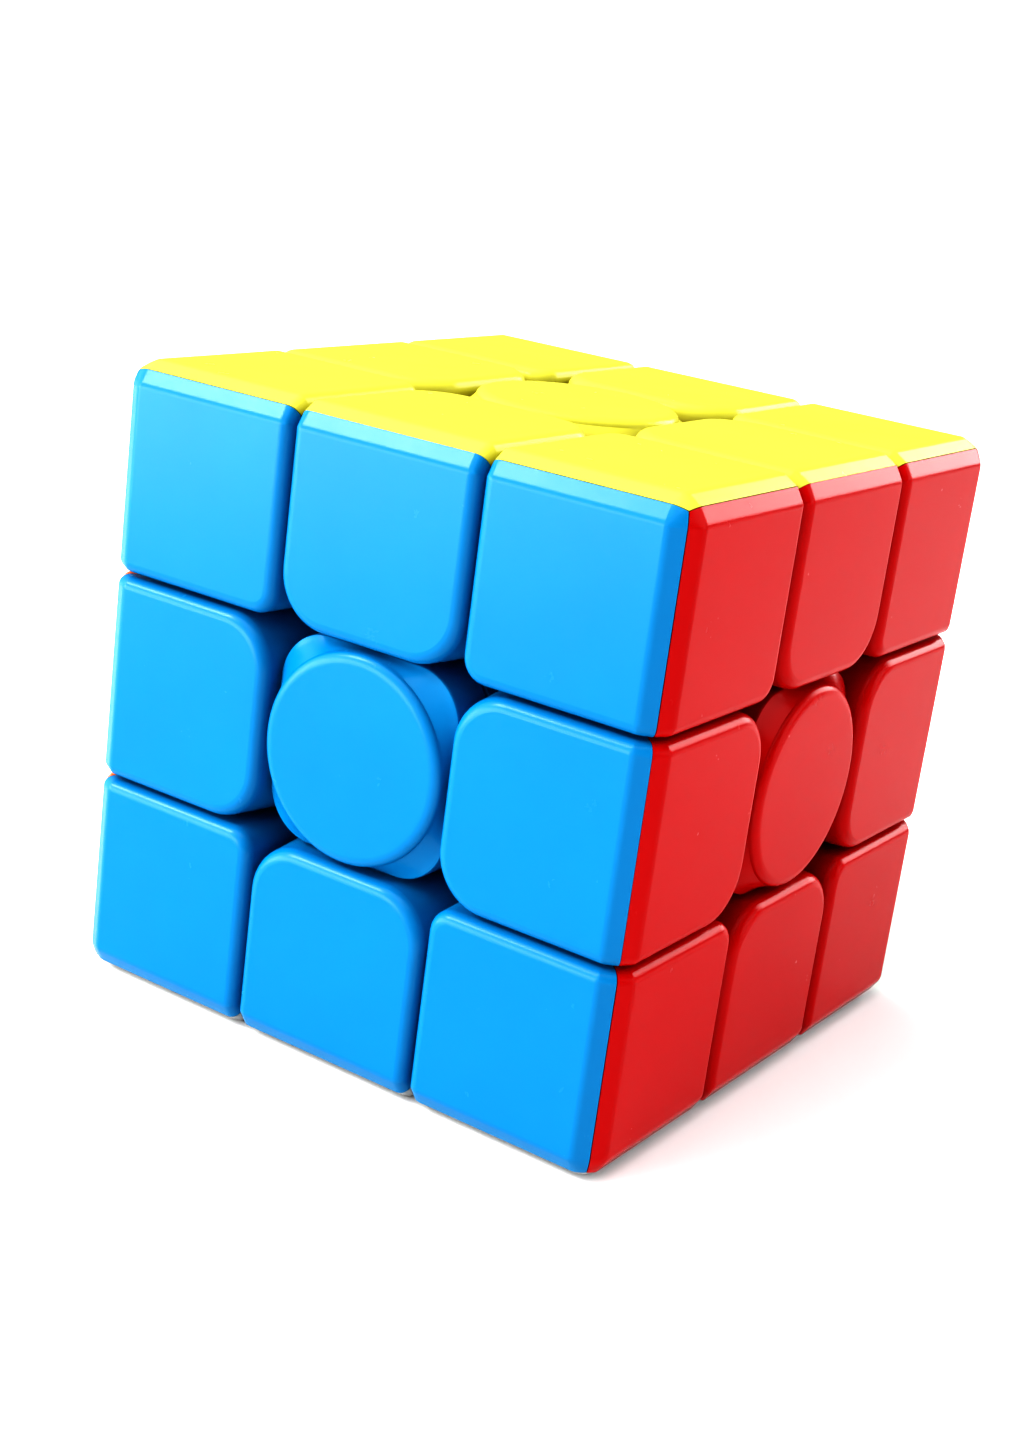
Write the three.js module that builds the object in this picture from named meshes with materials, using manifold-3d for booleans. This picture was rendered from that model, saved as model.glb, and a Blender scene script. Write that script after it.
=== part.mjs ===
// A 3 x 3 x 3 twisty puzzle cube without stickers: every colour is its own moulded shell.
// Millimetres, +Z up, origin at the middle of the cube, which stands solved: yellow on top, blue in front
// (towards -Y), red on the right (towards +X). A core carries six sprung screws, each screw holds a centre,
// the centres hold the twelve edges by their feet, and the edges hold the eight corners by theirs.
import * as THREE from "three";
import { ConvexGeometry } from "three/addons/geometries/ConvexGeometry.js";
import { mergeVertices } from "three/addons/utils/BufferGeometryUtils.js";
import Module from "manifold-3d";

const wasm = await Module();
wasm.setup();

// Driving dimensions of the cube.
const CUBE = 56;
const HALF = CUBE / 2;
const LAYER = CUBE / 6; // from the middle to the plane between two layers
const SEAM = 0.4; // gap between neighbouring pieces
const WALL = 1.8; // thickness of the hollow shells

// The track: inside this sphere the layers part at FOOT_PLANE, outside it at LAYER, so a foot hooks under
// its neighbours and still turns freely about all three axes.
const TRACK_R = 20;
const FOOT_PLANE = 5;
const FOOT_GAP = 0.2; // from a foot or a stem to the plane or sphere that it slides on
const FACET_ALLOWANCE = 0.36; // how far a faceted sphere's flats fall inside its own radius
const NECK_TOP = 17; // height of the neck that joins an edge's foot to its outer block

// Tiles, as seen on a face of the cube.
const EDGE_TILE_R = 4.8; // rounding of an edge tile's two corners next to the centre
const EDGE_BASE_R = 4; // the same corners lower down, where the walls have flared out a little
const LEAST_R = 0.4; // smallest rounding of the hollow inside a shell
const CORNER_TILE_R = 1.5; // rounding of a corner tile's corner next to the centre
const FLARE_DEPTH = 7; // how far below the face EDGE_BASE_R is reached
const RIM = 0.45; // small chamfer where a tile's face meets its walls
const BEVEL_LEG = 2.1; // from the cube's ideal edge to the crease of the bevel
const BEVEL_MID = 0.8; // depth of the line where two colours meet on the bevel
const BEVEL_POINT = 1.05; // depth of the point where three colours meet
const SHELL_GAP = 0.2; // between the two half shells of an edge
const CORE_OUT_R = 1.9; // hole in each inner wall of a corner

// Centres.
const DISC_R = 9; // the round face
const CENTRE_BASE_R = 3.9; // corner rounding of the square base under the disc
const CAP_FLARE = 1.4; // how far below the disc's face the base reaches its full square
const HUB_TOP = 21.5; // the hub's flat top, which the cap covers
const CAP_GAP = 0.3; // between the cap and the hub
const CAP_ROOF = 2.4; // thickness of the cap over its pocket
const COLLAR_R = 6.2; // the collar on the hub that plugs into the cap
const COLLAR_H = 1.8;
const STEM_R = 4.7; // the tube that reaches down to the core
const STEM_FOOT = 5.2;
const FLOOR_LOW = 9; // the floor that the spring presses on
const FLOOR_HIGH = 10.5;
const POCKET_R = 3.5; // the bore for the spring and the screw's head
const SCREW_HOLE_R = 1.55;

// Core, screws and springs.
const CORE_HALF = 4.7;
const CORE_CHAMFER = 1.6;
const ARM_R = 2.6;
const ARM_TOP = 8.6;
const ARM_GAP = 0.4; // between an arm and the stem that turns on it
const BORE_GAP = 0.25; // between a screw and its bore in the core
const SCREW_R = 1.2;
const POINT_R = 0.7; // the screw's blunt point
const POINT_LENGTH = 0.8;
const SCREW_TIP = 2.3;
const HEAD_R = 3;
const HEAD_CROWN_R = 2.25; // the flat on top of the domed head
const HEAD_LOW = 17.2;
const HEAD_SIDE = 0.6; // height of the head's straight side
const HEAD_HIGH = 18.6;
const RECESS_DEPTH = 0.8; // the cross recess
const RECESS_REACH = 1.5;
const RECESS_HALF_WIDTH = 0.4;
const WIRE_R = 0.3;
const COIL_R = 2.4;
const COIL_TURNS = 4;

// Cutting and joined solids run this far past the faces that they cross.
const PAST = 1;

// How finely round shapes are divided.
const TRACK_SEGMENTS = 24;
const DISC_SEGMENTS = 28;
const POST_SEGMENTS = 16;
const HOLE_SEGMENTS = 12;
const SMALL_HOLE_SEGMENTS = 10;
const EDGE_ARC_STEPS = 4;
const CORNER_ARC_STEPS = 3;
const HOLLOW_ARC_STEPS = 1;
const SQUARE_ARC_STEPS = 3;
const WIRE_SIDES = 5;
const WIRE_STEPS = 32;

const FACES = {
  top: { normal: [0, 0, 1], colour: "yellow" },
  bottom: { normal: [0, 0, -1], colour: "white" },
  front: { normal: [0, -1, 0], colour: "blue" },
  back: { normal: [0, 1, 0], colour: "green" },
  left: { normal: [-1, 0, 0], colour: "orange" },
  right: { normal: [1, 0, 0], colour: "red" },
};

const PLASTICS = {
  yellow: 0xffef1f,
  white: 0xf4f4f2,
  blue: 0x0fa4f5,
  green: 0x16b04a,
  orange: 0xff7a14,
  red: 0xe01f22,
};

function plastic(colour) {
  return new THREE.MeshStandardMaterial({ color: PLASTICS[colour], roughness: 0.35, metalness: 0 });
}

function darkPlastic() {
  return new THREE.MeshStandardMaterial({ color: 0x26282b, roughness: 0.5, metalness: 0 });
}

function steel() {
  return new THREE.MeshStandardMaterial({ color: 0xb9bcc0, roughness: 0.3, metalness: 1 });
}

// ---- Solids ----

function solid(geometry) {
  const bare = geometry.clone();
  bare.deleteAttribute("normal");
  bare.deleteAttribute("uv");
  const merged = mergeVertices(bare, 1e-4);
  return new wasm.Manifold(
    new wasm.Mesh({
      numProp: 3,
      vertProperties: merged.attributes.position.array,
      triVerts: new Uint32Array(merged.index.array),
    }),
  );
}

function geometryOf(made) {
  const mesh = made.getMesh();
  const geometry = new THREE.BufferGeometry();
  geometry.setAttribute("position", new THREE.BufferAttribute(mesh.vertProperties, 3));
  geometry.setIndex(new THREE.BufferAttribute(mesh.triVerts, 1));
  const flat = geometry.toNonIndexed();
  flat.computeVertexNormals();
  return flat;
}

function hull(points) {
  return solid(new ConvexGeometry(points));
}

function box(x0, x1, y0, y1, z0, z1) {
  const geometry = new THREE.BoxGeometry(x1 - x0, y1 - y0, z1 - z0);
  return solid(geometry.translate((x0 + x1) / 2, (y0 + y1) / 2, (z0 + z1) / 2));
}

// A round post along Z.
function post(radius, z0, z1, segments = POST_SEGMENTS) {
  const geometry = new THREE.CylinderGeometry(radius, radius, z1 - z0, segments);
  return solid(geometry.rotateX(Math.PI / 2).translate(0, 0, (z0 + z1) / 2));
}

function sphere(radius) {
  return solid(new THREE.SphereGeometry(radius, TRACK_SEGMENTS, TRACK_SEGMENTS / 2));
}

// The ball that the outer parts of centres and edges keep clear of, and the ball that every foot stays in.
const outsideTrack = sphere(TRACK_R + FOOT_GAP + FACET_ALLOWANCE);
const insideTrack = sphere(TRACK_R - FOOT_GAP);
const insideWall = sphere(TRACK_R + WALL);

// An arc of a tile's outline, as [across, along] pairs.
function arc(centre, radius, from, to, steps) {
  return Array.from({ length: steps + 1 }, (_, i) => {
    const angle = from + ((to - from) * i) / steps;
    return [centre[0] + radius * Math.cos(angle), centre[1] + radius * Math.sin(angle)];
  });
}

// ---- Edge: half of it, the half whose tile faces +Z, on the edge of the cube between +Z and +X ----

// The outer block of a whole edge, or with an inset the hollow inside it.
function edgeBlock(inset, steps) {
  const low = LAYER + SEAM / 2 + inset;
  const high = HALF - inset;
  const side = LAYER - SEAM / 2 - inset;
  const crease = HALF - BEVEL_LEG - inset / 2;
  const mid = HALF - BEVEL_MID - inset;
  const points = [];
  const addBoth = (x, y, z) => points.push(new THREE.Vector3(x, y, z), new THREE.Vector3(z, y, x));
  for (const s of [-1, 1]) {
    const rings = [
      [high, EDGE_TILE_R - inset, RIM],
      [high - RIM, EDGE_TILE_R - inset, 0],
      [HALF - FLARE_DEPTH, Math.max(EDGE_BASE_R - inset, LEAST_R), 0],
    ];
    for (const [z, radius, trim] of rings) {
      const corner = [low + radius, side - radius];
      for (const [x, y] of arc(corner, radius - trim, Math.PI / 2, Math.PI, steps)) addBoth(x, s * y, z);
    }
    addBoth(crease, s * (side - RIM), high);
    addBoth(crease, s * side, high - RIM);
    points.push(new THREE.Vector3(mid, s * (side - RIM), mid));
    points.push(new THREE.Vector3(mid - RIM / 2, s * side, mid - RIM / 2));
    points.push(new THREE.Vector3(low, s * side, low));
  }
  return hull(points);
}

function edgeHalf() {
  const plane = LAYER + SEAM / 2;
  const reach = FOOT_PLANE - FOOT_GAP;
  const start = FOOT_PLANE + FOOT_GAP;
  const foot = box(start, TRACK_R, -reach, reach, start, TRACK_R).intersect(insideTrack);
  const neck = box(plane, NECK_TOP, -reach, reach, plane, NECK_TOP);
  const whole = edgeBlock(0, EDGE_ARC_STEPS).subtract(outsideTrack).add(foot).add(neck);
  const hollow = edgeBlock(WALL, HOLLOW_ARC_STEPS).subtract(insideWall);
  // Everything on the +Z side of the plane in which the two half shells meet.
  const upperSide = new THREE.BoxGeometry(2 * CUBE, 2 * CUBE, 2 * CUBE);
  upperSide.translate(0, 0, CUBE + SHELL_GAP / 2).rotateY(-Math.PI / 4);
  return whole.subtract(hollow).intersect(solid(upperSide));
}

// ---- Corner, at +X +Y +Z ----

// The outer block of a corner, or with an inset the hollow inside it.
function cornerBlock(inset, steps) {
  const low = LAYER + SEAM / 2 + inset;
  const high = HALF - inset;
  const crease = HALF - BEVEL_LEG - inset / 2;
  const mid = HALF - BEVEL_MID - inset;
  const tip = HALF - BEVEL_POINT - inset;
  const radius = CORNER_TILE_R;
  const points = [new THREE.Vector3(low, low, low), new THREE.Vector3(tip, tip, tip)];
  // The same outline on each of the three faces, turned about the diagonal.
  const addThree = (x, y, z) =>
    points.push(new THREE.Vector3(x, y, z), new THREE.Vector3(z, x, y), new THREE.Vector3(y, z, x));
  for (const [z, trim] of [[high, RIM], [high - RIM, 0]]) {
    const corner = [low + radius, low + radius];
    for (const [x, y] of arc(corner, radius - trim, Math.PI, Math.PI * 1.5, steps)) addThree(x, y, z);
    addThree(crease, low + trim, z);
    addThree(low + trim, crease, z);
  }
  addThree(crease, crease, high);
  addThree(mid, low + RIM, mid);
  addThree(mid - RIM / 2, low, mid - RIM / 2);
  addThree(mid, crease, mid);
  return hull(points);
}

function corner() {
  const start = FOOT_PLANE + FOOT_GAP;
  const foot = box(start, TRACK_R, start, TRACK_R, start, TRACK_R).intersect(insideTrack);
  const hollow = cornerBlock(WALL, HOLLOW_ARC_STEPS).subtract(insideWall);
  const middle = (LAYER + HALF) / 2;
  const hole = post(CORE_OUT_R, LAYER, LAYER + 2 * WALL, SMALL_HOLE_SEGMENTS).translate([middle, middle, 0]);
  const holes = [hole, hole.rotate([90, 0, 90]), hole.rotate([90, 0, 90]).rotate([90, 0, 90])];
  return cornerBlock(0, CORNER_ARC_STEPS).add(foot).subtract(hollow).subtract(wasm.Manifold.union(holes));
}

// ---- Centre, on +Z ----

function roundedSquare(side, radius, z) {
  const points = [];
  for (let quarter = 0; quarter < 4; quarter++) {
    const from = (quarter * Math.PI) / 2;
    for (const [x, y] of arc([side - radius, side - radius], radius, 0, Math.PI / 2, SQUARE_ARC_STEPS)) {
      points.push(new THREE.Vector3(x, y, z).applyAxisAngle(new THREE.Vector3(0, 0, 1), from));
    }
  }
  return points;
}

// Points all round a circle, as [x, y] pairs, without the last one that would repeat the first.
function round(radius, segments) {
  return arc([0, 0], radius, 0, (2 * Math.PI * (segments - 1)) / segments, segments - 1);
}

function disc(radius, z) {
  return round(radius, DISC_SEGMENTS).map(([x, y]) => new THREE.Vector3(x, y, z));
}

const CENTRE_SIDE = LAYER - SEAM / 2;

function centreCap() {
  const base = HUB_TOP + CAP_GAP;
  const outer = hull([
    ...disc(DISC_R - RIM, HALF),
    ...disc(DISC_R, HALF - RIM),
    ...roundedSquare(CENTRE_SIDE, CENTRE_BASE_R, HALF - CAP_FLARE),
    ...roundedSquare(CENTRE_SIDE, CENTRE_BASE_R, base),
  ]);
  return outer.subtract(post(COLLAR_R + CAP_GAP, base - PAST, HALF - CAP_ROOF));
}

function centreHub() {
  const flange = hull([
    ...roundedSquare(CENTRE_SIDE, CENTRE_BASE_R, HUB_TOP),
    ...roundedSquare(CENTRE_SIDE, CENTRE_BASE_R, LAYER + SEAM / 2),
  ]).subtract(outsideTrack);
  return flange
    .add(post(STEM_R, STEM_FOOT, HUB_TOP))
    .add(post(COLLAR_R, HUB_TOP - PAST, HUB_TOP + COLLAR_H))
    .subtract(post(ARM_R + ARM_GAP, STEM_FOOT - PAST, FLOOR_LOW))
    .subtract(post(SCREW_HOLE_R, FLOOR_LOW - PAST, FLOOR_HIGH + PAST, HOLE_SEGMENTS))
    .subtract(post(POCKET_R, FLOOR_HIGH, HUB_TOP + COLLAR_H + PAST));
}

function tensionScrew() {
  const profile = [
    [0, SCREW_TIP],
    [POINT_R, SCREW_TIP],
    [SCREW_R, SCREW_TIP + POINT_LENGTH],
    [SCREW_R, HEAD_LOW],
    [HEAD_R, HEAD_LOW],
    [HEAD_R, HEAD_LOW + HEAD_SIDE],
    [HEAD_CROWN_R, HEAD_HIGH],
    [0, HEAD_HIGH],
  ].map(([r, z]) => new THREE.Vector2(r, z));
  const turned = new THREE.LatheGeometry(profile, HOLE_SEGMENTS).rotateX(Math.PI / 2);
  const long = RECESS_REACH;
  const wide = RECESS_HALF_WIDTH;
  const low = HEAD_HIGH - RECESS_DEPTH;
  const high = HEAD_HIGH + PAST;
  const recess = box(-long, long, -wide, wide, low, high).add(box(-wide, wide, -long, long, low, high));
  return solid(turned).subtract(recess);
}

class Helix extends THREE.Curve {
  constructor(radius, z0, z1, turns) {
    super();
    Object.assign(this, { radius, z0, z1, turns });
  }
  getPoint(t, target = new THREE.Vector3()) {
    const angle = 2 * Math.PI * this.turns * t;
    const z = this.z0 + (this.z1 - this.z0) * t;
    return target.set(this.radius * Math.cos(angle), this.radius * Math.sin(angle), z);
  }
}

function spring() {
  const section = new THREE.Shape(round(WIRE_R, WIRE_SIDES).map(([x, y]) => new THREE.Vector2(x, y)));
  const low = FLOOR_HIGH + FOOT_GAP + WIRE_R;
  const high = HEAD_LOW - FOOT_GAP - WIRE_R;
  const extrudePath = new Helix(COIL_R, low, high, COIL_TURNS);
  return solid(new THREE.ExtrudeGeometry(section, { extrudePath, steps: WIRE_STEPS, bevelEnabled: false }));
}

// ---- Core: a block with cut corners and six bored arms ----

function core() {
  const trimmed = CORE_HALF - CORE_CHAMFER;
  const points = [];
  for (const a of [-1, 1]) {
    for (const b of [-1, 1]) {
      for (const c of [-1, 1]) {
        points.push(new THREE.Vector3(a * CORE_HALF, b * trimmed, c * trimmed));
        points.push(new THREE.Vector3(a * trimmed, b * CORE_HALF, c * trimmed));
        points.push(new THREE.Vector3(a * trimmed, b * trimmed, c * CORE_HALF));
      }
    }
  }
  let made = hull(points);
  const arm = post(ARM_R, CORE_HALF - PAST, ARM_TOP);
  const bore = post(SCREW_R + BORE_GAP, SCREW_TIP - BORE_GAP, ARM_TOP + PAST, SMALL_HOLE_SEGMENTS);
  const turns = [[0, 0, 0], [90, 0, 0], [180, 0, 0], [270, 0, 0], [0, 90, 0], [0, 270, 0]];
  for (const turn of turns) made = made.add(arm.rotate(turn));
  for (const turn of turns) made = made.subtract(bore.rotate(turn));
  return made;
}

// ---- Assembly ----

const shapes = {
  cap: geometryOf(centreCap()),
  hub: geometryOf(centreHub()),
  screw: geometryOf(tensionScrew()),
  spring: geometryOf(spring()),
  edgeHalf: geometryOf(edgeHalf()),
  corner: geometryOf(corner()),
  core: geometryOf(core()),
};

const cube = new THREE.Group();

function named(name, geometry, material) {
  const mesh = new THREE.Mesh(geometry, material);
  mesh.name = name;
  return mesh;
}

// Turns a group so that its own +Z points along one face's normal and its own +X along another's.
function turnTo(group, zFace, xFace) {
  const z = new THREE.Vector3(...FACES[zFace].normal);
  const x = new THREE.Vector3(...FACES[xFace].normal);
  const y = new THREE.Vector3().crossVectors(z, x);
  group.quaternion.setFromRotationMatrix(new THREE.Matrix4().makeBasis(x, y, z));
  return group;
}

cube.add(named("core", shapes.core, darkPlastic()));

const SIDEWAYS = { top: "right", bottom: "right", front: "top", back: "top", left: "top", right: "top" };
for (const face of Object.keys(FACES)) {
  const { colour } = FACES[face];
  const centre = turnTo(new THREE.Group(), face, SIDEWAYS[face]);
  centre.add(named(`${face}_centre_cap_${colour}`, shapes.cap, plastic(colour)));
  centre.add(named(`${face}_centre_hub`, shapes.hub, plastic(colour)));
  centre.add(named(`${face}_tension_screw`, shapes.screw, steel()));
  centre.add(named(`${face}_tension_spring`, shapes.spring, steel()));
  cube.add(centre);
}

const EDGES = [
  ["top", "front"], ["top", "back"], ["top", "left"], ["top", "right"],
  ["bottom", "front"], ["bottom", "back"], ["bottom", "left"], ["bottom", "right"],
  ["front", "left"], ["front", "right"], ["back", "left"], ["back", "right"],
];
for (const [a, b] of EDGES) {
  for (const [tile, other] of [[a, b], [b, a]]) {
    const { colour } = FACES[tile];
    const half = turnTo(new THREE.Group(), tile, other);
    half.add(named(`${a}_${b}_edge_${colour}`, shapes.edgeHalf, plastic(colour)));
    cube.add(half);
  }
}

for (const level of ["top", "bottom"]) {
  for (const depth of ["front", "back"]) {
    for (const side of ["left", "right"]) {
      // The corner shape is the same on its three faces, so either side face may take its +X, as long as
      // the third one then lies along its +Y.
      const z = new THREE.Vector3(...FACES[level].normal);
      const x = new THREE.Vector3(...FACES[side].normal);
      const y = new THREE.Vector3(...FACES[depth].normal);
      const xFace = new THREE.Vector3().crossVectors(z, x).dot(y) > 0 ? side : depth;
      const piece = turnTo(new THREE.Group(), level, xFace);
      piece.add(named(`${level}_${depth}_${side}_corner`, shapes.corner, plastic(FACES[level].colour)));
      cube.add(piece);
    }
  }
}

export default cube;
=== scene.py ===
"""Looks of a stickerless twisty puzzle cube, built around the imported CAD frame.

The frame gives the cube's size and where each piece lies. Each kind of piece is made once, facing +Z, then
copied and turned onto its places: six round centre caps on six hubs, six screws and springs, twelve edges
of two half shells and eight corners of three shells. There is one core with six arms. The plastics, the
steel, the camera, the floor, the world and the lights follow.
"""
import math

import bmesh
import bpy
from mathutils import Matrix, Vector


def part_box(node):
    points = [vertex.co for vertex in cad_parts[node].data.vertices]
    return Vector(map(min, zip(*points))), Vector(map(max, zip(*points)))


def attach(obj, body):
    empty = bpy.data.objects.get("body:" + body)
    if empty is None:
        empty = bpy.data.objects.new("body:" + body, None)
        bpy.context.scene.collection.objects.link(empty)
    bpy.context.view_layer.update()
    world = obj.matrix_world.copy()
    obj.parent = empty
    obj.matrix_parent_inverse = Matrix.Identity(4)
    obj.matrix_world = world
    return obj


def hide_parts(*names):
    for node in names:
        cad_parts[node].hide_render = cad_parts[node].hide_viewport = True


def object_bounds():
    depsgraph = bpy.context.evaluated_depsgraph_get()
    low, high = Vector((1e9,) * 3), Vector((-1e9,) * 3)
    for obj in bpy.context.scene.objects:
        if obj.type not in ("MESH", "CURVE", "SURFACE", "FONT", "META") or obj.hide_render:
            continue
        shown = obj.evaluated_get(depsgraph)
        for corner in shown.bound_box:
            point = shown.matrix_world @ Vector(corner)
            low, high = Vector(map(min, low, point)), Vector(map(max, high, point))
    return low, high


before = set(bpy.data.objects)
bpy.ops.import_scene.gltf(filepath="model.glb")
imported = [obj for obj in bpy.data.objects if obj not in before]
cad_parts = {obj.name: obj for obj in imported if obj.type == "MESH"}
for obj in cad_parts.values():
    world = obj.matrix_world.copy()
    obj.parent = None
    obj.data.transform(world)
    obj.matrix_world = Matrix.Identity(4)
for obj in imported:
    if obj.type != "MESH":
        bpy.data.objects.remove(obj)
CAD_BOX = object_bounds()

MM = 0.001

# ---- Sizes taken from the frame ----
HALF = CAD_BOX[1][2]
LAYER = HALF / 3  # from the middle to the plane between two layers
TILE_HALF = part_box("top_centre_cap_yellow")[1].x
SEAM_HALF = LAYER - TILE_HALF
TILE_LOW = LAYER + SEAM_HALF  # where the outer layers' tiles start
FOOT_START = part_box("top_back_right_corner")[0].x
CAP_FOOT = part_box("top_centre_cap_yellow")[0].z
STEM_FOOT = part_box("top_centre_hub")[0].z
COLLAR_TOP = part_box("top_centre_hub")[1].z
SCREW_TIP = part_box("top_tension_screw")[0].z
HEAD_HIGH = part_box("top_tension_screw")[1].z
HEAD_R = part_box("top_tension_screw")[1].x
SPRING_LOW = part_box("top_tension_spring")[0].z
SPRING_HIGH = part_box("top_tension_spring")[1].z
ARM_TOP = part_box("core")[1].z

# ---- Shape of the shells ----
RIM = 1.0 * MM  # rounding where a tile's face meets its walls
RIM_STEPS = 6
CREASE_SOFTNESS = 0.3  # share of RIM that rounds the crease of the bevel
EDGE_TILE_R = 4.8 * MM  # the two rounded corners of an edge's tile, at its face
EDGE_BASE_R = 4 * MM  # the same corners, FLARE_DEPTH below the face
EDGE_LEAST_R = 0.4 * MM  # the least radius left to those corners inside the shell
FLARE_DEPTH = 7 * MM
CORNER_TILE_R = 2.2 * MM  # the rounded corner of a corner's tile
EDGE_STEPS, EDGE_INSIDE_STEPS = 14, 4  # steps round the corners of a tile and of the hollow under it
CORNER_STEPS, CORNER_INSIDE_STEPS = 6, 3
BEVEL_LEG = 2.1 * MM  # how far the bevel along the cube's edges reaches into each face
BEVEL_MID = 0.8 * MM  # how far the middle of the bevel lies below both faces
BEVEL_POINT = 1.05 * MM  # how far the cube's corner points lie below all three faces
RIDGE_RIM = 0.05 * MM  # rounding along the line where two colours meet
RIDGE_STEPS = 2
SHELL_GAP = 0.05 * MM  # between two shells of one piece
WALL = 1.8 * MM
TRACK_R = 20 * MM  # the sphere between the outer blocks and the feet
TRACK_GAP = 0.25 * MM
FOOT_GAP = 0.2 * MM
FOOT_HALF = FOOT_START - 2 * FOOT_GAP
NECK_TOP = 17 * MM
CORE_OUT_R = 1.9 * MM  # the hole in each inner wall of a corner
FAR = 2 * HALF  # past everything, for cutting shapes

# ---- Shape of the centre caps ----
DISC_R = 9.0 * MM  # the round face
CAP_RIM_DEPTH = 0.65 * MM
CAP_FLARE = 1.8 * MM  # depth over which the disc widens to the rounded square
FLARE_SHARE = 0.93  # how much of that widening is done before the brow
FLARE_POWER = 1.2
FLARE_STEPS = 8
BROW_DEPTH = 0.3 * MM  # the rounding between the flare and the walls
BROW_STEPS = 3
CAP_BASE_R = 4.5 * MM
CAP_BASE_RIM = 0.2 * MM
CAP_POCKET_R = 6.5 * MM
CAP_ROOF = 2.4 * MM

# ---- Shape of the inside ----
CAP_GAP = 0.3 * MM  # between a cap and its hub
HUB_TOP = CAP_FOOT - CAP_GAP
COLLAR_R = CAP_POCKET_R - CAP_GAP
STEM_R = 4.7 * MM
FLOOR_LOW, FLOOR_HIGH = 9 * MM, 10.5 * MM  # the floor in the stem that the spring presses on
SPRING_POCKET_R = 3.5 * MM
SCREW_HOLE_R = 1.55 * MM
ARM_R = 2.6 * MM
ARM_GAP = 0.4 * MM
ARM_RIM = 0.25 * MM
ARM_RIM_STEPS = 2
CORE_HALF = 4.7 * MM
CORE_CHAMFER = 1.6 * MM
SCREW_R = 1.2 * MM
BORE_GAP = 0.25 * MM  # between a screw and its bore in the core
POINT_LENGTH = 0.8 * MM
THREAD_PITCH = 0.8 * MM
THREAD_DEPTH = 0.22 * MM
THREAD_STEPS = 8  # rings of the screw for each turn of its thread
HEAD_HEIGHT = 1.4 * MM
HEAD_SIDE = 0.5 * MM
HEAD_STEPS = 7
HEAD_BEND = 0.8  # below 1, the top of the domed head is flatter than a ball's
HEAD_FLAT = 0.2  # share of the head's radius that is flat on top
RECESS_REACH = 1.5 * MM
RECESS_HALF_WIDTH = 0.35 * MM
RECESS_DEPTH = 0.8 * MM
WIRE_R = 0.3 * MM
COIL_R = 2.4 * MM
COIL_TURNS = 5.5
DEAD_TURNS = 0.9  # turns at each end of the spring that lie flat on the next one
WIRE_SIDES = 10
TURN_STEPS = 28
PAST = 1 * MM  # how far cutting shapes run past what they cut

# ---- How finely the meshes are made ----
RING_SIDES = 128
SCREW_SIDES = 32
BALL_SEGMENTS = 96
STEM_SIDES, BORE_SIDES, HOLE_SIDES = 64, 48, 32
FLAT_ANGLE = math.radians(0.4)  # faces of a hull that are closer to flat than this become one
RIDGE_FLAT_ANGLE = math.radians(0.2)
SHARP_ANGLE = 28  # degrees, above which an edge is shaded sharp
WIRE_SHARP_ANGLE = 40
ARM_SHARP_ANGLE = math.radians(50)  # the core's edges above this are rounded
SAME_PLACE = 0.01 * MM
SAME_DIRECTION = 0.999  # cosine above which a face lies on a mitre plane
SHOWN_MOST, SHOWN_LEAST = 0.8, -0.01  # a shown face's normal along its main axis, and along the others
SHOWN_LENGTH = 0.99  # how much of that normal lies along the tested axes

# ---- Looks ----
# Each plastic's colour on the faces, the colour of its painted shade down the walls and in the pits, and its
# specular level.
# The second colour is painted shade, darker than the face colour; for blue it is a painted tone a little
# lighter and greener.
PLASTICS = {
    "yellow": ((0.54, 0.52, 0.073), (0.17, 0.1, 0.003), 0.09),
    "white": ((0.37, 0.37, 0.365), (0.24, 0.24, 0.235), 0.17),
    "blue": ((0.001, 0.15, 0.33), (0.001, 0.17, 0.36), 0.17),
    "green": ((0.005, 0.22, 0.036), (0.004, 0.15, 0.025), 0.17),
    "orange": ((0.6, 0.115, 0.004), (0.36, 0.07, 0.003), 0.17),
    "red": ((0.425, 0.002, 0.003), (0.34, 0.002, 0.003), 0.11),
}
PLASTIC_IOR = 1.5
PLASTIC_ROUGHNESS = 0.25
CLOUD_STOPS = [(0.3, 0.95), (0.7, 1.0)]  # how far the colour is dimmed, in clouds
PLASTIC_MARKS = (-0.04, 0.05)  # how far fine marks change the roughness, down and up
NYLON = (0.02, 0.021, 0.023)
NYLON_GLOSS = 0.17
NYLON_ROUGHNESS = 0.55
NYLON_GRAIN = 0.3
STEEL_DIM = 0.88  # the dimmest share of the steel's level
STEEL_MARKS = 0.08
SHADE_START_DEPTH = 0.5 * MM  # below the cube's faces, where the painted shade starts
FULL_SHADE_DEPTH = 2.6 * MM  # where the walls reach the full colour of the painted shade

# ---- Camera ----
CAMERA_DISTANCE = 198.5 * MM
CAMERA_AZIMUTH, CAMERA_ELEVATION = math.radians(31.35), math.radians(16.98)
LOOK_AZIMUTH, LOOK_ELEVATION = math.radians(31.81), math.radians(17.56)
CAMERA_ROLL = math.radians(7.67)
LENS, SENSOR = 54.0, 36
CLIP_START = 0.01

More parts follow.
